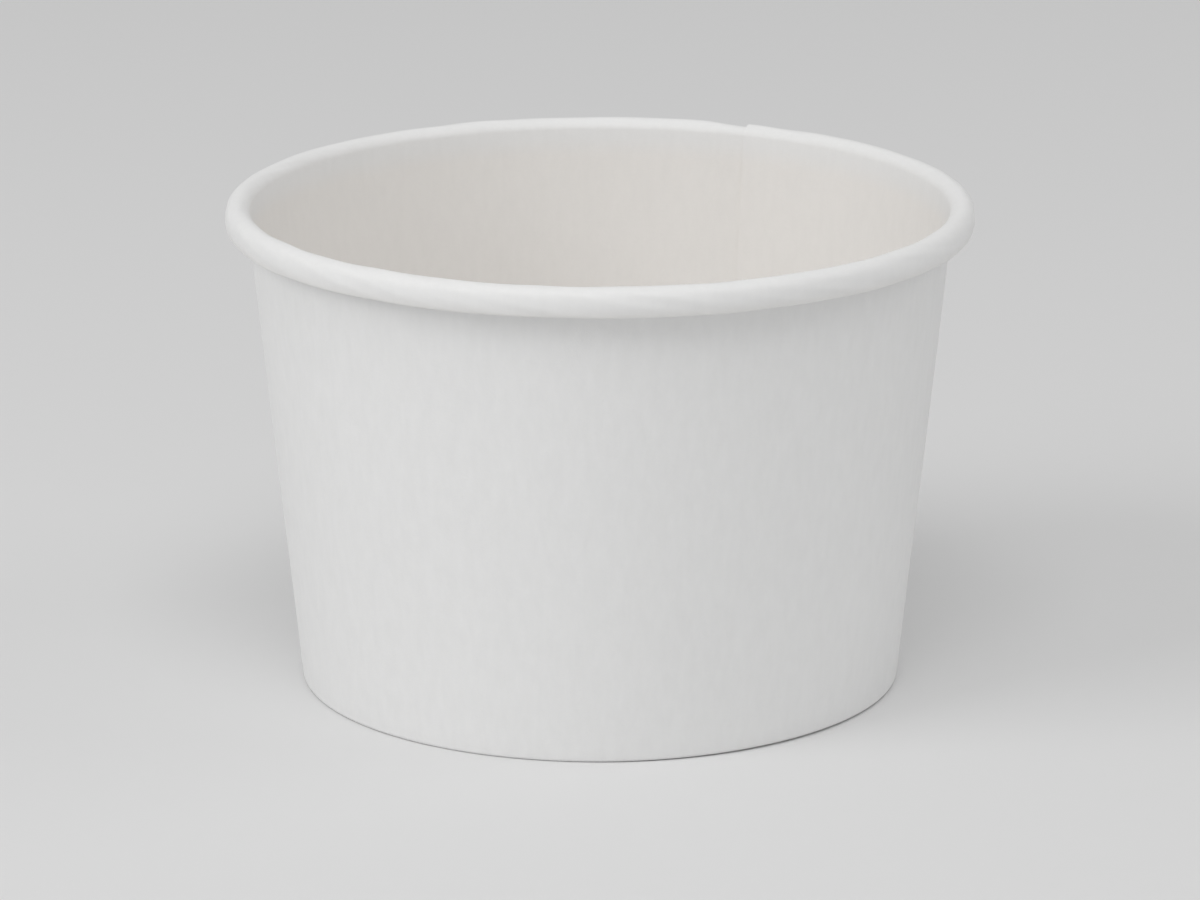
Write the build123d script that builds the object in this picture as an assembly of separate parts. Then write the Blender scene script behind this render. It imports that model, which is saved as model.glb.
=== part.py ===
from build123d import *
from build123d.topology import SkipClean
from math import acos, atan2, cos, degrees, hypot, radians, sin, tan
from typing import NamedTuple
import os

# A paper sundae cup: a lapped cone of board with a rolled rim and a folded foot, and a disc that
# closes it. Lengths are in millimetres and angles in degrees. The origin is at the middle of the
# foot, on the table, with +Z up.

# The cup as a whole
rim_diameter = 96.0  # over the rolled rim, the size that a lid fits
foot_diameter = 77.4  # over the wall, where its slope would meet the table
cup_height = 63.2  # from the table to the top of the rim
wall_board = 0.40  # thickness of the wall's sheet

# The rolled rim, three arcs that run into each other
roll_hollow = 0.70  # clear width inside the roll where the sheet is double
roll_gap = 0.15  # between the tucked edge and the wall where the sheet is double
roll_side_radius = 3.40  # of the rim's outer side
roll_side_sweep = 30.0  # of that arc

# The side seam, where the two ends of the sheet lap
seam_bearing = 64.5  # of the inner end, counted anticlockwise from +X
seam_lap = 7.5  # width of the double layer, measured round the rim
seam_ramp = 6.7  # run over which the outer end climbs onto the inner one, round the rim
seam_ramp_steps = 2

# The bottom disc and its skirt
disc_board = 0.35  # thickness of the disc's sheet
disc_top = 6.40  # height of the cup's inside floor
disc_bend_inside = 0.40  # inner radius of the bend between disc and skirt
seal_gap = 0.03  # film on each side of the skirt

# The foot hem, the wall's lower edge turned in and up round the skirt
hem_gap = 0.80  # between the hem's edge and the bend of the disc
fold_share = 0.25  # inner radius of the fold's two corners, of the slot that holds the skirt

# The rolled rim's arcs, the top one first
rim_radius = rim_diameter / 2
foot_radius = foot_diameter / 2
double_board = 2 * wall_board
half_sweep = roll_side_sweep / 2
to_side = Vector(1, 0).rotate(Axis.Z, half_sweep)
roll_top_radius = (3 * double_board + roll_gap + roll_hollow) / 2
side_excess = roll_side_radius - roll_top_radius
top_centre = Vector(rim_radius - roll_side_radius + side_excess * to_side.X, cup_height - roll_top_radius)

# The wall's slope, which starts at the foot and runs into the roll without a kink
foot_to_roll = top_centre - Vector(foot_radius, 0)
reach = hypot(foot_to_roll.X, foot_to_roll.Y)
slope = acos((roll_top_radius - wall_board) / reach) - atan2(foot_to_roll.Y, foot_to_roll.X)
slope_angle = degrees(slope)
up_wall = Vector(sin(slope), cos(slope))
out_of_wall = Vector(cos(slope), -sin(slope))

# The roll's lower arc, which leaves the tucked edge its gap to the wall
half_side = radians(half_sweep)
under_room = roll_top_radius * (1 + cos(half_side + slope)) - double_board - roll_gap
side_lean = 2 * roll_side_radius * sin(half_side) * sin(slope)
roll_under_radius = (under_room + side_lean) / (1 + cos(half_side - slope))
side_centre = top_centre - to_side * side_excess
under_centre = side_centre + Vector(to_side.X, -to_side.Y) * (roll_side_radius - roll_under_radius)

# The foot's slot and the bend of the disc
slot = disc_board + 2 * seal_gap
fold_radius = fold_share * slot
outer_fold_angle = 90 - slope_angle
inner_fold_angle = 90 + slope_angle
outer_fold_reach = fold_radius * tan(radians(outer_fold_angle / 2))
inner_fold_reach = fold_radius * tan(radians(inner_fold_angle / 2))
disc_bend = disc_bend_inside + disc_board
bend_level = disc_top - disc_bend
bend_radius = foot_radius + bend_level * tan(slope) - (wall_board + seal_gap + disc_bend) / cos(slope)

# Straight runs of the two sheets
roll_start_level = top_centre.Y + roll_top_radius * sin(slope)
wall_run = (roll_start_level - wall_board) / cos(slope) - outer_fold_reach
sole_run = slot / cos(slope) - outer_fold_reach - inner_fold_reach
hem_run = (bend_level - hem_gap - wall_board) / cos(slope) - inner_fold_reach
skirt_run = (bend_level - disc_bend * sin(slope) - wall_board - slot) / cos(slope)

# The seam's widths as angles round the cup's axis
lap_angle = degrees(seam_lap / rim_radius)
ramp_angle = degrees(seam_ramp / rim_radius)


class Run(NamedTuple):
    """A straight stretch of a sheet."""

    length: float


class Bend(NamedTuple):
    """A round stretch of a sheet: its near face's radius, its turn and the chords of its two faces."""

    radius: float
    turn: float
    near_chords: int
    far_chords: int


class Sheet(NamedTuple):
    """A sheet's near face in the plane of radius and height, with the board to the left of it."""

    start: Vector
    heading: float
    route: list


# From the tucked edge over the rim and down to the hem, along the cup's inner face
wall_sheet = Sheet(
    under_centre - out_of_wall * roll_under_radius,
    -inner_fold_angle,
    [
        Bend(roll_under_radius, 180 - half_sweep + slope_angle, 4, 2),
        Bend(roll_side_radius, roll_side_sweep, 2, 1),
        Bend(roll_top_radius, 90 - half_sweep, 2, 1),
        Bend(roll_top_radius, 90 - slope_angle, 3, 2),
        Run(wall_run),
        Bend(fold_radius, -outer_fold_angle, 1, 1),
        Run(sole_run),
        Bend(fold_radius, -inner_fold_angle, 1, 1),
        Run(hem_run),
    ],
)

# From the skirt's edge up and in to the middle, along the cup's inside floor
disc_sheet = Sheet(
    Vector(bend_radius, bend_level) + out_of_wall * disc_bend - up_wall * skirt_run,
    outer_fold_angle,
    [Run(skirt_run), Bend(disc_bend, inner_fold_angle, 2, 1), Run(bend_radius)],
)


def face_points(sheet, depth, far):
    """Points along a sheet at a depth behind its near face, with the chords of its near or far face."""
    heading = sheet.heading
    points = [sheet.start + Vector(0, depth).rotate(Axis.Z, heading)]
    for stretch in sheet.route:
        if isinstance(stretch, Run):
            points.append(points[-1] + Vector(stretch.length, 0).rotate(Axis.Z, heading))
            continue
        radius = stretch.radius - depth if stretch.turn > 0 else stretch.radius + depth
        chords = stretch.far_chords if far else stretch.near_chords
        turn = stretch.turn / chords
        chord = 2 * radius * sin(radians(abs(turn) / 2))
        for _ in range(chords):
            points.append(points[-1] + Vector(chord, 0).rotate(Axis.Z, heading + turn / 2))
            heading += turn
    return points


def upright_section(near, far):
    """Section of a sheet between the points of its two faces, set upright over the X axis."""
    return Plane.XZ * make_face(Polyline(near + far[::-1], close=True))


def pressed(points, level):
    """Points of a face, with none of them under a level."""
    return [Vector(point.X, max(point.Y, level)) for point in points]


def wall_layer(depth, thickness, bearing):
    """Section of the wall's sheet at a bearing, its fold pressed to one thickness on the table."""
    near = pressed(face_points(wall_sheet, depth, far=False), wall_board)
    far = pressed(face_points(wall_sheet, depth + thickness, far=True), 0)
    return Rot(0, 0, bearing) * upright_section(near, far)


def make_side_wall():
    """The wall: a single layer most of the way round, the double lap and the ramp that climbs onto it."""
    ramp_start = seam_bearing + ramp_angle
    lap_end = seam_bearing - lap_angle
    single = revolve(wall_layer(0, wall_board, ramp_start), Axis.Z, 360 - ramp_angle - lap_angle)
    lap = revolve(wall_layer(0, double_board, lap_end), Axis.Z, lap_angle)
    climb = []
    for step in range(seam_ramp_steps + 1):
        climb_share = step / seam_ramp_steps
        climb.append(wall_layer(climb_share * wall_board, wall_board, ramp_start - climb_share * ramp_angle))
    ramp = loft(climb, ruled=True)
    # Each stretch keeps its own faces, with an edge where the layers start and end.
    with SkipClean():
        return single + lap + ramp


def make_bottom_disc():
    """The disc with its turned-down skirt."""
    near = face_points(disc_sheet, 0, far=False)
    far = face_points(disc_sheet, disc_board, far=True)
    return revolve(upright_section(near, far), Axis.Z)


os.makedirs("parts", exist_ok=True)
export_step(make_side_wall(), "parts/side_wall.step")
export_step(make_bottom_disc(), "parts/bottom_disc.step")
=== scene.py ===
"""A paper sundae cup for the render: two folded sheets of board, their finishes and a small studio.

Lengths are in metres and angles in radians. The origin is at the middle of the foot, on the table, with
+Z up, and the camera looks along +Y. A sheet is drawn by its near face, in the plane of radius and
height, and its board lies to the left of that line.
"""

import logging
from dataclasses import dataclass
from enum import Enum, IntEnum
from math import acos, asin, atan2, ceil, cos, hypot, pi, radians, sin, tan, tau

import bmesh
import bpy
from mathutils import Matrix, Vector


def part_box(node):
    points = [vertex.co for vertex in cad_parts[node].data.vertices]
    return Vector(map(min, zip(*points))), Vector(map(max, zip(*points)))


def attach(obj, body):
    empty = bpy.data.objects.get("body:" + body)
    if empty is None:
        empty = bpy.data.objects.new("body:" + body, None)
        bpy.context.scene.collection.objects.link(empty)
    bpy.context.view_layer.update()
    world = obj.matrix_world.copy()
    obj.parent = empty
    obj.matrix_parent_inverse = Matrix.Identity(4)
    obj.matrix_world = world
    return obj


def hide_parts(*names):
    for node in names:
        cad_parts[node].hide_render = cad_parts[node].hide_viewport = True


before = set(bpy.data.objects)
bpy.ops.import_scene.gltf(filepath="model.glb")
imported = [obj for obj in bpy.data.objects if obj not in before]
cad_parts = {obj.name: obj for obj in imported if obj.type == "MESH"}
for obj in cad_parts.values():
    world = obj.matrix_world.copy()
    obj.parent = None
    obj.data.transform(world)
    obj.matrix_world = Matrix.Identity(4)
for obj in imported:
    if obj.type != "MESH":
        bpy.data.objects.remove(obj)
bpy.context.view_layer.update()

log = logging.getLogger("sundae_cup")

# Three parts of a colour, or three lengths along X, Y and Z
Triple = tuple[float, float, float]

QUARTER = pi / 2
ORIGIN = Vector((0.0, 0.0, 0.0))
UP = Vector((0.0, 0.0, 1.0))
LEFT_TURN = Vector((0.0, -1.0, 0.0))
FACE_UP = Vector((0.0, 1.0))

# Largest edges that a drawn sheet is cut into: on the flat, round a bend, by a bend's turn
# and round the cup
FLAT_EDGE = 2.4e-3
BEND_EDGE = 0.2e-3
BEND_TURN = radians(12.0)
CUP_TURN = radians(1.0)

# Offset of a thickness that lies behind the near face and leaves that face in place
BEHIND = -1.0

# Alpha of a solid colour, and the mean value of a noise node
OPAQUE = 1.0
NOISE_MEAN = 0.5


class Face(IntEnum):
    """Faces of a sheet, in the order of its material slots."""

    NEAR = 0
    FAR = 1
    CUT = 2


class Mark(Enum):
    """Places that are marked along the wall's sheet."""

    ROLL_END = "end of the roll"
    FOLD_START = "start of the foot's fold"


class ColourMix(IntEnum):
    """Places of a Mix node's colour sockets, whose names its other sockets share."""

    SHARE = 0
    FIRST = 6
    SECOND = 7
    MIXED = 2


class ShaderMix(IntEnum):
    """Places of a Mix Shader node's inputs."""

    SHARE = 0
    FIRST = 1
    SECOND = 2


def upright(point: Vector) -> Vector:
    """Place of a point of radius and height, over the X axis."""
    return Vector((point.x, 0.0, point.y))


def toward(heading: float) -> Vector:
    """Direction of a heading in the plane of radius and height."""
    return Vector((cos(heading), sin(heading)))


def eased(share: float) -> float:
    """A share from 0 to 1 that starts and ends gently, by a cubic that is level at both ends."""
    share = min(max(share, 0.0), 1.0)
    return share * share * (3.0 - 2.0 * share)


class FoldLine:
    """Draws the near face of a folded sheet as a chain of edges over the X axis."""

    def __init__(self, start: Vector, heading: float) -> None:
        """Sets the first point.

        Args:
            start: Radius and height of the sheet's first edge.
            heading: Direction of the sheet there, anticlockwise from the radius.
        """
        self.mesh = bmesh.new()
        self.along = self.mesh.verts.layers.float.new("along")
        self.tip = self.mesh.verts.new(upright(start))
        self.heading = heading
        self.length = 0.0
        self.marks: dict[Mark, float] = {}

    def mark(self, place: Mark) -> None:
        """Notes the length drawn so far."""
        self.marks[place] = self.length

    def run(self, length: float, edge: float = FLAT_EDGE) -> None:
        """Draws a straight stretch.

        Args:
            length: Its length.
            edge: Length of the longest edge that it is cut into.
        """
        parts = ceil(length / edge)
        step = upright(toward(self.heading)) * length / parts
        for _ in range(parts):
            drawn = bmesh.ops.extrude_vert_indiv(self.mesh, verts=[self.tip])
            self.tip = drawn["verts"][0]
            bmesh.ops.translate(self.mesh, verts=[self.tip], vec=step)
            self.length += length / parts
            self.tip[self.along] = self.length

    def bend(self, radius: float, turn: float) -> None:
        """Draws a round stretch.

        Args:
            radius: Radius of the near face.
            turn: Angle of the bend, positive to the board's side.
        """
        side = QUARTER if turn > 0.0 else -QUARTER
        centre = self.tip.co + upright(toward(self.heading + side)) * radius
        length = radius * abs(turn)
        parts = ceil(max(abs(turn) / BEND_TURN, length / BEND_EDGE))
        for _ in range(parts):
            drawn = bmesh.ops.spin(
                self.mesh, geom=[self.tip], cent=centre, axis=LEFT_TURN, angle=turn / parts, steps=1
            )
            self.tip = drawn["geom_last"][0]
            self.length += length / parts
            self.tip[self.along] = self.length
        self.heading += turn

    def sweep(self, angle: float, chain: list | None = None, closed: bool = False) -> list:
        """Turns a chain of edges round the cup's axis.

        Args:
            angle: Angle of the sweep, anticlockwise seen from above.
            chain: The vertices and edges to turn, or nothing for all that is drawn.
            closed: Whether the last chain is merged with the first.

        Returns:
            The vertices and edges of the last chain.
        """
        swept = bmesh.ops.spin(
            self.mesh,
            geom=chain or self.mesh.verts[:] + self.mesh.edges[:],
            cent=ORIGIN,
            axis=UP,
            angle=angle,
            steps=ceil(angle / CUP_TURN),
            use_merge=closed,
        )
        return swept["geom_last"]

    def point_faces(self, near_side: Vector) -> None:
        """Turns every face to the near side.

        Args:
            near_side: Radius and height of the direction that most of the near face looks in.
        """
        bmesh.ops.recalc_face_normals(self.mesh, faces=self.mesh.faces[:])
        facing = 0.0
        for face in self.mesh.faces:
            middle = face.calc_center_median()
            outward = Vector((middle.x, middle.y, 0.0)).normalized()
            facing += face.calc_area() * face.normal.dot(outward * near_side.x + UP * near_side.y)
        if facing < 0.0:
            bmesh.ops.reverse_faces(self.mesh, faces=self.mesh.faces[:])
        self.mesh.normal_update()


class Wire:
    """A shader value: an output socket that takes part in sums and products."""

    def __init__(self, bench: "NodeBench", socket: bpy.types.NodeSocket | None) -> None:
        """Wraps a socket of a bench's nodes, or none for a node that only takes values."""
        self.bench = bench
        self.socket = socket

    def _maths(self, operation: str, first: "Wire | float", second: "Wire | float") -> "Wire":
        """Adds a Math node for two values."""
        return self.bench.add("ShaderNodeMath", {"operation": operation}, {0: first, 1: second})

    def __add__(self, other: "Wire | float") -> "Wire":
        """Sum of two values."""
        return self._maths("ADD", self, other)

    def __radd__(self, other: float) -> "Wire":
        """Sum of a number and a value."""
        return self._maths("ADD", other, self)

    def __sub__(self, other: "Wire | float") -> "Wire":
        """Difference of two values."""
        return self._maths("SUBTRACT", self, other)

    def __rsub__(self, other: float) -> "Wire":
        """Difference of a number and a value."""
        return self._maths("SUBTRACT", other, self)

    def __mul__(self, other: "Wire | float") -> "Wire":
        """Product of two values."""
        return self._maths("MULTIPLY", self, other)

    def __rmul__(self, other: float) -> "Wire":
        """Product of a number and a value."""
        return self._maths("MULTIPLY", other, self)


class NodeBench:
    """The node tree of one material or of the world, with one method that adds any node."""

    def __init__(self, tree: bpy.types.NodeTree) -> None:
        """Clears the tree."""
        self.tree = tree
        self.tree.nodes.clear()

    def add(self, kind: str, settings: dict, sockets: dict, output: int | str = 0) -> Wire:
        """Adds a node.

        Args:
            kind: The node's type.
            settings: Its properties, set before its sockets.
            sockets: Values or wires for its inputs, by name or place.
            output: Name or place of the output that is returned.

        Returns:
            The wire of that output.
        """
        node = self.tree.nodes.new(kind)
        for name, value in settings.items():
            setattr(node, name, value)
        for name, value in sockets.items():
            if isinstance(value, Wire):
                self.tree.links.new(value.socket, node.inputs[name])
            else:
                node.inputs[name].default_value = value
        return Wire(self, node.outputs[output] if node.outputs else None)

    def mix_colours(self, share: Wire, first: "Wire | tuple", second: "Wire | tuple") -> Wire:
        """Colour at a share of the way from the first colour to the second."""
        sockets = {ColourMix.SHARE: share, ColourMix.FIRST: first, ColourMix.SECOND: second}
        return self.add("ShaderNodeMix", {"data_type": "RGBA"}, sockets, ColourMix.MIXED)

    def mix_shaders(self, share: Wire, first: Wire, second: Wire) -> Wire:
        """Shader at a share of the way from the first shader to the second."""
        sockets = {ShaderMix.SHARE: share, ShaderMix.FIRST: first, ShaderMix.SECOND: second}
        return self.add("ShaderNodeMixShader", {}, sockets)


@dataclass(frozen=True)
class Shades:
    """The palest and the deepest colour of a mottled surface."""

    pale: Triple
    deep: Triple

    def colour(self, bench: NodeBench, share: Wire) -> Wire:
        """Colour at a share of the way from the palest to the deepest."""
        return bench.mix_colours(share, (*self.pale, OPAQUE), (*self.deep, OPAQUE))


@dataclass(frozen=True)
class BoardFinish:
    """A face of white cup board, with streaks of grain and a fine tooth of fibres.

    Attributes:
        name: Name of the material.
        grain: Lengths of the grain's streaks along X, Y and Z.
        shades: Colours that the grain and the tooth run through.
        roughness: Mean roughness.
        gloss: Strength of the sheen, as the shader's specular level.
        tooth: Size of the fibres.
        relief: Depth of the fibres.
        film: Weight of a clear film over the board.
        film_roughness: Roughness of that film.
        roughness_spread: Difference in roughness between the fibres' lows and highs.
        grain_detail: Octaves of the grain's noise.
        tooth_detail: Octaves of the tooth's noise.
        tooth_twist: Distortion of the tooth's noise, which makes it look felted.
        grain_share: Share of the grain in the mottling, where the tooth has the rest.
        grain_relief_share: Share of the tooth's relief that the grain has.
    """

    name: str
    grain: Triple
    shades: Shades
    roughness: float
    gloss: float
    tooth: float
    relief: float
    film: float = 0.0
    film_roughness: float = 0.42
    roughness_spread: float = 0.12
    grain_detail: float = 3.0
    tooth_detail: float = 4.0
    tooth_twist: float = 1.4
    grain_share: float = 0.6
    grain_relief_share: float = 0.5

    def colour(self, bench: NodeBench, place: Wire, share: Wire) -> Wire:
        """Colour of the surface at its coordinates and at a share of the way to its deepest shade."""
        return self.shades.colour(bench, share)

    def material(self) -> bpy.types.Material:
        """Makes the finish a material, once.

        Returns:
            The material, new or made before.
        """
        known = bpy.data.materials.get(self.name)
        if known:
            return known
        material = bpy.data.materials.new(self.name)
        material.use_nodes = True
        bench = NodeBench(material.node_tree)
        place = bench.add("ShaderNodeTexCoord", {}, {}, "Object")
        streaks_per_metre = tuple(1.0 / length for length in self.grain)
        lengthways = bench.add("ShaderNodeMapping", {}, {"Vector": place, "Scale": streaks_per_metre})
        grain_sockets = {"Vector": lengthways, "Scale": 1.0, "Detail": self.grain_detail}
        grain = bench.add("ShaderNodeTexNoise", {}, grain_sockets)
        tooth_sockets = {
            "Vector": place,
            "Scale": 1.0 / self.tooth,
            "Detail": self.tooth_detail,
            "Distortion": self.tooth_twist,
        }
        tooth = bench.add("ShaderNodeTexNoise", {}, tooth_sockets)
        share = grain * self.grain_share + tooth * (1.0 - self.grain_share)
        height = tooth + grain * self.grain_relief_share
        normal = bench.add("ShaderNodeBump", {}, {"Distance": self.relief, "Height": height})
        board_sockets = {
            "Base Color": self.colour(bench, place, share),
            "Roughness": self.roughness + self.roughness_spread * (tooth - NOISE_MEAN),
            "Specular IOR Level": self.gloss,
            "Coat Weight": self.film,
            "Coat Roughness": self.film_roughness,
            "Normal": normal,
        }
        surface = bench.add("ShaderNodeBsdfPrincipled", {}, board_sockets)
        bench.add("ShaderNodeOutputMaterial", {}, {"Surface": surface})
        return material


@dataclass(frozen=True)
class FilmFinish(BoardFinish):
    """The inside face of cup board, a little warm under its thin clear film."""

    shades: Shades = Shades(pale=(0.905, 0.884, 0.858), deep=(0.835, 0.816, 0.792))
    roughness: float = 0.60
    gloss: float = 0.40
    tooth: float = 0.7e-3
    relief: float = 0.012e-3
    film: float = 0.12


@dataclass(frozen=True)
class RolledFilmFinish(FilmFinish):
    """The filmed face of the wall, which rolling has whitened round the rim.

    Attributes:
        rolled_shades: Colours of the whitened film.
        roll_start: Height at which the whitening starts.
        roll_full: Height at which it is full.
    """

    rolled_shades: Shades = Shades(pale=(0.889, 0.888, 0.884), deep=(0.824, 0.823, 0.818))
    roll_start: float = 0.0
    roll_full: float = 1.0

    def colour(self, bench: NodeBench, place: Wire, share: Wire) -> Wire:
        """Colour of the surface, whitened towards the rim.

        Args:
            bench: The material's nodes.
            place: Coordinates of the surface.
            share: 0 where the mottling is palest and 1 where it is deepest.

        Returns:
            The wire of the colour.
        """
        height = bench.add("ShaderNodeSeparateXYZ", {}, {"Vector": place}, "Z")
        rise_sockets = {"Value": height, "From Min": self.roll_start, "From Max": self.roll_full}
        rise = bench.add("ShaderNodeMapRange", {"interpolation_type": "SMOOTHSTEP"}, rise_sockets)
        flat_colour = self.shades.colour(bench, share)
        rolled_colour = self.rolled_shades.colour(bench, share)
        return bench.mix_colours(rise, flat_colour, rolled_colour)


UP_GRAIN = (1.2e-3, 1.2e-3, 3.6e-3)
ACROSS_GRAIN = (3.6e-3, 1.2e-3, 1.2e-3)
CUT_GRAIN = (0.9e-3, 0.9e-3, 0.9e-3)
DISC_FILM = FilmFinish(name="disc_film", grain=ACROSS_GRAIN)
OUTER_BOARD = BoardFinish(
    name="outer_board",
    grain=UP_GRAIN,
    shades=Shades(pale=(0.901, 0.901, 0.898), deep=(0.823, 0.823, 0.819)),
    roughness=0.78,
    gloss=0.30,
    tooth=0.45e-3,
    relief=0.020e-3,
    grain_share=0.72,
)
CUT_EDGE = BoardFinish(
    name="cut_edge",
    grain=CUT_GRAIN,
    shades=Shades(pale=(0.800, 0.780, 0.735), deep=(0.700, 0.672, 0.615)),
    roughness=0.92,
    gloss=0.15,
    tooth=0.14e-3,
    relief=0.020e-3,
)


def thick_piece(name: str, line: FoldLine, board: float, near_face: BoardFinish) -> bpy.types.Object:
    """Makes a drawn sheet an object, gives it its board's thickness and dresses its three finishes.

    Args:
        name: Name of the piece.
        line: The sheet's near face.
        board: Thickness of the board.
        near_face: Finish of the near face.

    Returns:
        The finished piece.
    """
    for face in line.mesh.faces:
        face.smooth = True
    for edge in line.mesh.edges:
        edge.smooth = not edge.is_boundary
    data = bpy.data.meshes.new(name)
    line.mesh.to_mesh(data)
    line.mesh.free()
    finishes = {Face.NEAR: near_face, Face.FAR: OUTER_BOARD, Face.CUT: CUT_EDGE}
    for slot in Face:
        data.materials.append(finishes[slot].material())
    piece = bpy.data.objects.new(name, data)
    bpy.context.scene.collection.objects.link(piece)
    thickness = piece.modifiers.new("board", "SOLIDIFY")
    thickness.thickness = board
    thickness.offset = BEHIND
    thickness.use_even_offset = True
    thickness.material_offset = Face.FAR
    thickness.material_offset_rim = Face.CUT
    return piece


@dataclass(frozen=True)
class Wave:
    """A slight wave in a sheet, which runs round the cup and leans along the sheet.

    Attributes:
        depth: Half of the way from its crest to its trough.
        lobes: Number of its crests round the cup.
        lean: Turn of its phase for each metre along the sheet.
        phase: Its phase at a bearing of nought, at the sheet's tucked edge.
    """

    depth: float
    lobes: int
    lean: float
    phase: float

    def sink(self, bearing: float, along: float) -> float:
        """Depth of the wave at a bearing and at a length along the sheet, never less than nought."""
        return self.depth * (1.0 + sin(self.lobes * bearing + self.lean * along + self.phase))


# Broad flats of the roll first, then the slanting streaks that the rolling tool leaves
ROLL_WAVES = (
    Wave(depth=0.022e-3, lobes=11, lean=350.0, phase=0.0),
    Wave(depth=0.018e-3, lobes=17, lean=-455.0, phase=1.1),
    Wave(depth=0.014e-3, lobes=29, lean=245.0, phase=2.6),
    Wave(depth=0.014e-3, lobes=23, lean=3100.0, phase=0.7),
    Wave(depth=0.012e-3, lobes=37, lean=4300.0, phase=2.1),
    Wave(depth=0.014e-3, lobes=31, lean=2300.0, phase=4.0),
)
WALL_WAVES = (
    Wave(depth=0.036e-3, lobes=5, lean=0.0, phase=0.8),
    Wave(depth=0.024e-3, lobes=9, lean=33.0, phase=2.2),
)


@dataclass(frozen=True)
class SideWall:
    """The wall: a cone of board with lapped ends, a rolled rim and a hem folded in at the foot.

    Attributes:
        rim_radius: Radius over the rolled rim.
        height: Height of the cup.
        foot_radius: Radius over the foot.
        board: Thickness of the board.
        layer_gap: Gap between the two layers of the lap.
        roll_hollow: Clear width inside the roll where the sheet is double.
        roll_gap: Gap between the tucked edge and the wall where the sheet is double.
        roll_sheets: Sheets across the roll: the wall, the tucked edge and the outer side.
        roll_side_radius: Radius of the rim's outer side.
        roll_side_rise: Turn of that side above its widest place.
        roll_depth: Height of the roll, from its underside to its top.
        roll_corner: Radius of the roll's lower corner.
        roll_tuck: Radius of the turn that tucks the sheet's edge in.
        seam_bearing: Bearing of the inner end's cut edge.
        seam_lap: Width of the double layer, round the rim.
        seam_ramp: Run over which the outer end climbs onto the inner one, round the rim.
        slot: Clear width between the wall and the hem.
        fold_radius: Inside radius of the folds at the foot.
        hem_height: Height of the hem's cut edge.
        foot_rise: Largest gap between the foot and the table.
        foot_rise_bearing: Bearing of that gap.
        foot_rise_reach: Angle over which it closes to either side.
        whitened: Depth below the rim's top at which the film starts to whiten.
        whitening: Height over which the whitening becomes full.
        flat_top_share: Share of the wall below the roll over which its waves set in.
        flat_foot_share: Share of the wall above the foot that has no waves.
        foot_fade_share: Share of the wall above that over which the waves fade.
    """

    rim_radius: float
    height: float
    foot_radius: float = 38.7e-3
    board: float = 0.40e-3
    layer_gap: float = 0.015e-3
    roll_hollow: float = 0.70e-3
    roll_gap: float = 0.15e-3
    roll_sheets: int = 3
    roll_side_radius: float = 3.40e-3
    roll_side_rise: float = radians(15.0)
    roll_depth: float = 3.85e-3
    roll_corner: float = 0.60e-3
    roll_tuck: float = 1.10e-3
    seam_bearing: float = radians(64.5)
    seam_lap: float = 7.5e-3
    seam_ramp: float = 6.7e-3
    slot: float = 0.41e-3
    fold_radius: float = 0.1025e-3
    hem_height: float = 4.85e-3
    foot_rise: float = 0.20e-3
    foot_rise_bearing: float = radians(-45.0)
    foot_rise_reach: float = radians(58.0)
    whitened: float = 5.5e-3
    whitening: float = 3.5e-3
    flat_top_share: float = 0.15
    flat_foot_share: float = 0.18
    foot_fade_share: float = 0.3

    @property
    def double_board(self) -> float:
        """Thickness of the two layers of the lap, without their gap."""
        return 2.0 * self.board

    @property
    def top_radius(self) -> float:
        """Radius of the roll's top."""
        return (self.roll_sheets * self.double_board + self.roll_gap + self.roll_hollow) / 2.0

    @property
    def side_centre(self) -> Vector:
        """Centre of the rim's outer side."""
        return self.top_centre - toward(self.roll_side_rise) * (self.roll_side_radius - self.top_radius)

    @property
    def top_centre(self) -> Vector:
        """Centre of the roll's top, which puts the rim's outer side at its radius.

        Returns:
            Its radius and height.
        """
        excess = self.roll_side_radius - self.top_radius
        inset = self.roll_side_radius - excess * cos(self.roll_side_rise)
        return Vector((self.rim_radius - inset, self.height - self.top_radius))

    @property
    def slope(self) -> float:
        """Lean of the wall, which runs into the roll without a kink.

        Returns:
            Its angle from upright.
        """
        across = self.top_centre - Vector((self.foot_radius, 0.0))
        reach = hypot(across.x, across.y)
        return acos((self.top_radius - self.board) / reach) - atan2(across.y, across.x)

    @property
    def up_wall(self) -> Vector:
        """Direction up the wall."""
        return toward(QUARTER - self.slope)

    @property
    def out_of_wall(self) -> Vector:
        """Direction out of the wall."""
        return toward(-self.slope)

    @property
    def roll_foot(self) -> float:
        """Height of the roll's underside."""
        return self.height - self.roll_depth

    @property
    def roll_side_drop(self) -> float:
        """Turn of the rim's outer side below its widest place, down to the roll's lower corner."""
        drop = self.side_centre.y - self.roll_foot - self.roll_corner
        return asin(drop / (self.roll_side_radius - self.roll_corner))

    @property
    def corner_centre(self) -> Vector:
        """Centre of the roll's lower corner."""
        reach = self.roll_side_radius - self.roll_corner
        return self.side_centre + toward(-self.roll_side_drop) * reach

    @property
    def tuck_centre(self) -> Vector:
        """Centre of the turn that tucks the sheet's edge in, which leaves that edge its gap to the wall.

        Returns:
            Its radius and height.
        """
        level = self.roll_foot + self.roll_tuck
        wall_face = self.top_centre.dot(self.out_of_wall) - self.top_radius
        reach = wall_face + self.double_board + self.roll_gap + self.roll_tuck
        return Vector(((reach + level * sin(self.slope)) / cos(self.slope), level))

    @property
    def wall_run(self) -> float:
        """Length of the sheet between the roll and the fold.

        Returns:
            The length of its near face.
        """
        roll_start = self.top_centre.y + self.top_radius * sin(self.slope)
        fold_reach = self.fold_radius * tan((QUARTER - self.slope) / 2.0)
        return (roll_start - self.board) / cos(self.slope) - fold_reach

    @property
    def lap_angle(self) -> float:
        """Width of the double layer, round the axis."""
        return self.seam_lap / self.rim_radius

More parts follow.
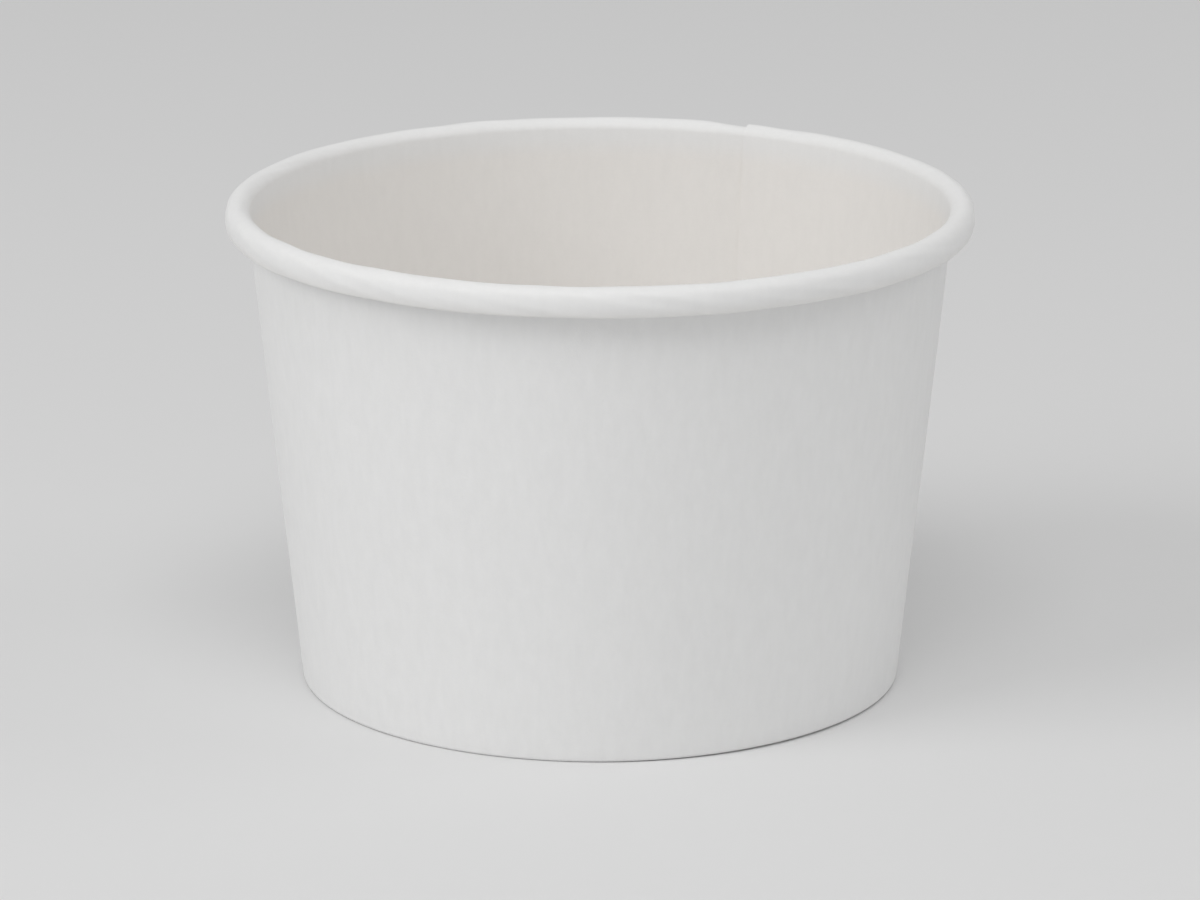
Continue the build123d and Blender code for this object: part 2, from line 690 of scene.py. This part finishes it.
    @property
    def ramp_angle(self) -> float:
        """Run over which the outer end climbs onto the inner one, round the axis."""
        return self.seam_ramp / self.rim_radius

    def draw(self) -> FoldLine:
        """Draws the sheet from its tucked edge over the rim and down the inside to the hem.

        Returns:
            The line of the near face.
        """
        outer_fold = QUARTER - self.slope
        inner_fold = QUARTER + self.slope
        outer_reach = self.fold_radius * tan(outer_fold / 2.0)
        inner_reach = self.fold_radius * tan(inner_fold / 2.0)
        line = FoldLine(self.tuck_centre - self.out_of_wall * self.roll_tuck, -inner_fold)
        line.bend(self.roll_tuck, inner_fold)
        line.run(self.corner_centre.x - self.tuck_centre.x)
        line.bend(self.roll_corner, QUARTER - self.roll_side_drop)
        line.bend(self.roll_side_radius, self.roll_side_drop + self.roll_side_rise)
        line.bend(self.top_radius, pi - self.roll_side_rise - self.slope)
        line.mark(Mark.ROLL_END)
        line.run(self.wall_run)
        line.mark(Mark.FOLD_START)
        line.bend(self.fold_radius, -outer_fold)
        line.run(self.slot / cos(self.slope) - outer_reach - inner_reach)
        line.bend(self.fold_radius, -inner_fold)
        line.run((self.hem_height - self.board) / cos(self.slope) - inner_reach)
        return line

    def layer_depth(self, bearing: float) -> float:
        """Depth of the outer layer behind the inner one at a bearing of the lap or the ramp."""
        climbed = eased((self.seam_bearing + self.ramp_angle - bearing) / self.ramp_angle)
        return climbed * (self.board + self.layer_gap)

    def fold_lift(self, bearing: float) -> float:
        """Height by which the fold stands on the fold of the layer below it.

        Args:
            bearing: Bearing round the cup.

        Returns:
            The height, which is nought away from the lap.
        """
        lap_end = self.seam_bearing - self.lap_angle
        turned = (bearing - lap_end) % tau
        after = eased((self.lap_angle + self.ramp_angle - turned) / self.ramp_angle)
        before = eased((turned - tau + self.ramp_angle) / self.ramp_angle)
        return max(after, before) * (self.board + self.layer_gap)

    def foot_gap(self, bearing: float) -> float:
        """Gap between the foot and the table at a bearing, because the foot isn't quite flat."""
        away = abs((bearing - self.foot_rise_bearing + pi) % tau - pi)
        return self.foot_rise * eased(1.0 - away / self.foot_rise_reach)

    def unevenness(self, below_roll: float, bearing: float, along: float) -> float:
        """Depth of the slight waves that rolling and winding leave in the board.

        Args:
            below_roll: Length along the sheet from the end of the roll, negative on the roll.
            bearing: Bearing round the cup.
            along: Length along the sheet from its tucked edge.

        Returns:
            The depth behind the near face's true place.
        """
        down = below_roll / self.wall_run
        on_roll = eased(-below_roll / self.top_radius)
        on_wall = eased(down / self.flat_top_share)
        on_wall *= eased((1.0 - self.flat_foot_share - down) / self.foot_fade_share)
        roll_depth = sum(wave.sink(bearing, along) for wave in ROLL_WAVES)
        wall_depth = sum(wave.sink(bearing, along) for wave in WALL_WAVES)
        return on_roll * roll_depth + on_wall * wall_depth

    def shape(self, line: FoldLine, tail: set) -> None:
        """Lays the outer end over the inner one and makes the sheet as uneven as board is.

        Args:
            line: The swept sheet.
            tail: The vertices of its outer end, with the lap and the ramp.
        """
        for vert in line.mesh.verts:
            bearing = atan2(vert.co.y, vert.co.x)
            along = vert[line.along]
            depth = self.layer_depth(bearing) if vert in tail else 0.0
            depth += self.unevenness(along - line.marks[Mark.ROLL_END], bearing, along)
            folded = along > line.marks[Mark.FOLD_START] - self.board
            lift = self.fold_lift(bearing) + self.foot_gap(bearing) if folded else 0.0
            vert.co += UP * lift - vert.normal * depth

    def build(self) -> bpy.types.Object:
        """Builds the wall and dresses it.

        Returns:
            The finished piece.
        """
        line = self.draw()
        start = Matrix.Rotation(self.seam_bearing - self.lap_angle, 3, "Z")
        bmesh.ops.rotate(line.mesh, verts=line.mesh.verts[:], cent=ORIGIN, matrix=start)
        tail_end = line.sweep(self.lap_angle + self.ramp_angle)
        tail = set(line.mesh.verts)
        line.sweep(tau - self.ramp_angle, tail_end)
        line.point_faces(-self.out_of_wall)
        self.shape(line, tail)
        roll_start = self.height - self.whitened
        roll_full = roll_start + self.whitening
        film = RolledFilmFinish(
            name="wall_film", grain=UP_GRAIN, roll_start=roll_start, roll_full=roll_full
        )
        piece = thick_piece("side_wall_sheet", line, self.board, film)
        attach(piece, "root")
        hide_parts("side_wall")
        return piece


@dataclass(frozen=True)
class BottomDisc:
    """The bottom: a disc of board whose skirt is turned down and held in the foot's hem.

    Attributes:
        wall: The wall that holds it.
        top_height: Height of the cup's inside floor.
        board: Thickness of the board.
        seal_gap: Gap for the film that seals the skirt.
        bend_inside: Inside radius of the bend between the disc and its skirt.
        sag: Depth of the sag in the disc's middle.
        pole_merge: Distance within which the points at the disc's middle are merged.
    """

    wall: SideWall
    top_height: float
    board: float = 0.35e-3
    seal_gap: float = 0.03e-3
    bend_inside: float = 0.40e-3
    sag: float = 0.22e-3
    pole_merge: float = 0.003e-3

    def build(self) -> bpy.types.Object:
        """Builds the disc and dresses it.

        Returns:
            The finished piece.
        """
        slope = self.wall.slope
        bend = self.bend_inside + self.board
        level = self.top_height - bend
        inset = (self.wall.board + self.seal_gap + bend) / cos(slope)
        radius = self.wall.foot_radius + level * tan(slope) - inset
        hem_floor = self.wall.board + self.wall.slot
        skirt = (level - bend * sin(slope) - hem_floor) / cos(slope) - self.seal_gap
        edge = Vector((radius, level)) + self.wall.out_of_wall * bend - self.wall.up_wall * skirt
        line = FoldLine(edge, QUARTER - slope)
        line.run(skirt)
        line.bend(bend, QUARTER + slope)
        line.run(radius)
        line.sweep(tau, closed=True)
        bmesh.ops.remove_doubles(line.mesh, verts=line.mesh.verts[:], dist=self.pole_merge)
        line.point_faces(FACE_UP)
        for vert in line.mesh.verts:
            share = hypot(vert.co.x, vert.co.y) / radius
            if share < 1.0:
                vert.co.z -= self.sag * eased(1.0 - share)
        piece = thick_piece("bottom_disc_sheet", line, self.board, DISC_FILM)
        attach(piece, "root")
        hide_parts("bottom_disc")
        return piece


@dataclass(frozen=True)
class Lamp:
    """A square soft box that faces the cup.

    Attributes:
        name: Name of the lamp.
        azimuth: Angle round the cup from the front, positive to the right.
        elevation: Angle above the level of its target.
        power: Power in watts.
        distance: Distance from its target.
        side: Length of its side.
    """

    name: str
    azimuth: float
    elevation: float
    power: float
    distance: float = 1.4
    side: float = 0.7

    def hang(self, target: Vector) -> bpy.types.Object:
        """Hangs the lamp.

        Args:
            target: The point that it faces.

        Returns:
            The lamp's object.
        """
        level = Vector((sin(self.azimuth), -cos(self.azimuth), 0.0)) * cos(self.elevation)
        back = level + UP * sin(self.elevation)
        data = bpy.data.lights.new(self.name, "AREA")
        data.shape = "SQUARE"
        data.size = self.side
        data.energy = self.power
        lamp = bpy.data.objects.new(self.name, data)
        lamp.location = target + back * self.distance
        lamp.rotation_mode = "QUATERNION"
        lamp.rotation_quaternion = (-back).to_track_quat("-Z", "Y")
        lamp.visible_camera = False
        bpy.context.scene.collection.objects.link(lamp)
        return lamp


@dataclass(frozen=True)
class FloorPaper:
    """The plain pale paper of the floor, which is clear from below."""

    name: str = "floor_paper"
    colour: Triple = (0.765, 0.765, 0.765)
    roughness: float = 0.75
    gloss: float = 0.2

    def material(self) -> bpy.types.Material:
        """Makes the paper a material.

        Returns:
            The material.
        """
        material = bpy.data.materials.new(self.name)
        material.use_nodes = True
        bench = NodeBench(material.node_tree)
        paper_sockets = {
            "Base Color": (*self.colour, OPAQUE),
            "Roughness": self.roughness,
            "Specular IOR Level": self.gloss,
        }
        paper = bench.add("ShaderNodeBsdfPrincipled", {}, paper_sockets)
        clear = bench.add("ShaderNodeBsdfTransparent", {}, {})
        from_below = bench.add("ShaderNodeNewGeometry", {}, {}, "Backfacing")
        surface = bench.mix_shaders(from_below, paper, clear)
        bench.add("ShaderNodeOutputMaterial", {}, {"Surface": surface})
        return material


@dataclass(frozen=True)
class Studio:
    """The pale floor, the soft light and the camera.

    Attributes:
        cup_height: Height of the cup that stands in it.
        aim_share: Share of that height at which the camera and the lamps aim.
        paper: Finish of the floor.
        floor_radius: Radius of the floor.
        floor_hole: Radius of the floor's opening under the foot, which lets light reach the underside.
        sky_colour: Colour of the even light from all round.
        sky_strength: Strength of that light.
        lamps: The soft boxes.
        view_distance: Distance of the camera from its target.
        view_elevation: Angle of the camera above the level of its target.
        view_start: Nearest distance that the camera sees.
        view_end: Farthest distance that the camera sees.
        lens: Focal length in millimetres.
        sensor: Width of the camera's sensor in millimetres.
    """

    cup_height: float
    aim_share: float = 0.467
    paper: FloorPaper = FloorPaper()
    floor_radius: float = 5.0
    floor_hole: float = 30.0e-3
    sky_colour: Triple = (1.0, 1.0, 1.0)
    sky_strength: float = 0.51
    lamps: tuple[Lamp, ...] = (
        Lamp(name="key", azimuth=radians(-60.0), elevation=radians(36.0), power=4.6),
        Lamp(name="fill", azimuth=radians(90.0), elevation=radians(36.0), power=1.4),
        Lamp(name="top", azimuth=radians(0.0), elevation=radians(60.0), power=4.4),
    )
    view_distance: float = 0.785
    view_elevation: float = radians(15.9)
    view_start: float = 0.01
    view_end: float = 50.0
    lens: float = 182.0
    sensor: float = 36.0

    @property
    def target(self) -> Vector:
        """The point that the camera and the lamps face."""
        return UP * self.cup_height * self.aim_share

    def lay_floor(self) -> bpy.types.Object:
        """Lays the floor.

        Returns:
            The floor's object.
        """
        line = FoldLine(Vector((self.floor_hole, 0.0)), 0.0)
        line.run(self.floor_radius - self.floor_hole, edge=self.floor_radius)
        line.sweep(tau, closed=True)
        line.point_faces(FACE_UP)
        data = bpy.data.meshes.new("floor")
        line.mesh.to_mesh(data)
        line.mesh.free()
        data.materials.append(self.paper.material())
        floor = bpy.data.objects.new("floor", data)
        bpy.context.scene.collection.objects.link(floor)
        return floor

    def light_sky(self) -> bpy.types.World:
        """Lights the cup evenly from all round.

        Returns:
            The world that holds the light.
        """
        world = bpy.data.worlds.new("studio_light")
        world.use_nodes = True
        bench = NodeBench(world.node_tree)
        sky_sockets = {"Color": (*self.sky_colour, OPAQUE), "Strength": self.sky_strength}
        sky = bench.add("ShaderNodeBackground", {}, sky_sockets)
        bench.add("ShaderNodeOutputWorld", {}, {"Surface": sky})
        bpy.context.scene.world = world
        return world

    def set_camera(self) -> bpy.types.Object:
        """Sets the camera a little above the cup, at the photograph's angle.

        Returns:
            The camera's object.
        """
        back = Vector((0.0, -cos(self.view_elevation), sin(self.view_elevation)))
        data = bpy.data.cameras.new("camera")
        data.sensor_width = self.sensor
        data.lens = self.lens
        data.clip_start = self.view_start
        data.clip_end = self.view_end
        camera = bpy.data.objects.new("camera", data)
        camera.location = self.target + back * self.view_distance
        camera.rotation_mode = "QUATERNION"
        camera.rotation_quaternion = (-back).to_track_quat("-Z", "Y")
        bpy.context.scene.collection.objects.link(camera)
        bpy.context.scene.camera = camera
        return camera

    def set_up(self) -> list[bpy.types.ID]:
        """Sets up the lamps, the floor, the sky and the camera, and returns them all."""
        lamps = [lamp.hang(self.target) for lamp in self.lamps]
        return [self.lay_floor(), self.light_sky(), self.set_camera(), *lamps]


def main() -> None:
    """Builds the cup and its studio."""
    logging.basicConfig(level=logging.INFO)
    bpy.context.scene.view_settings.view_transform = "Standard"
    wall_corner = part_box("side_wall")[1]
    disc_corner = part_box("bottom_disc")[1]
    wall = SideWall(rim_radius=wall_corner.y, height=wall_corner.z)
    disc = BottomDisc(wall=wall, top_height=disc_corner.z)
    for piece in (wall.build(), disc.build()):
        log.info("built %s with %d vertices", piece.name, len(piece.data.vertices))
    for fitting in Studio(cup_height=wall.height).set_up():
        log.info("set up %s", fitting.name)


if __name__ == "__main__":
    main()
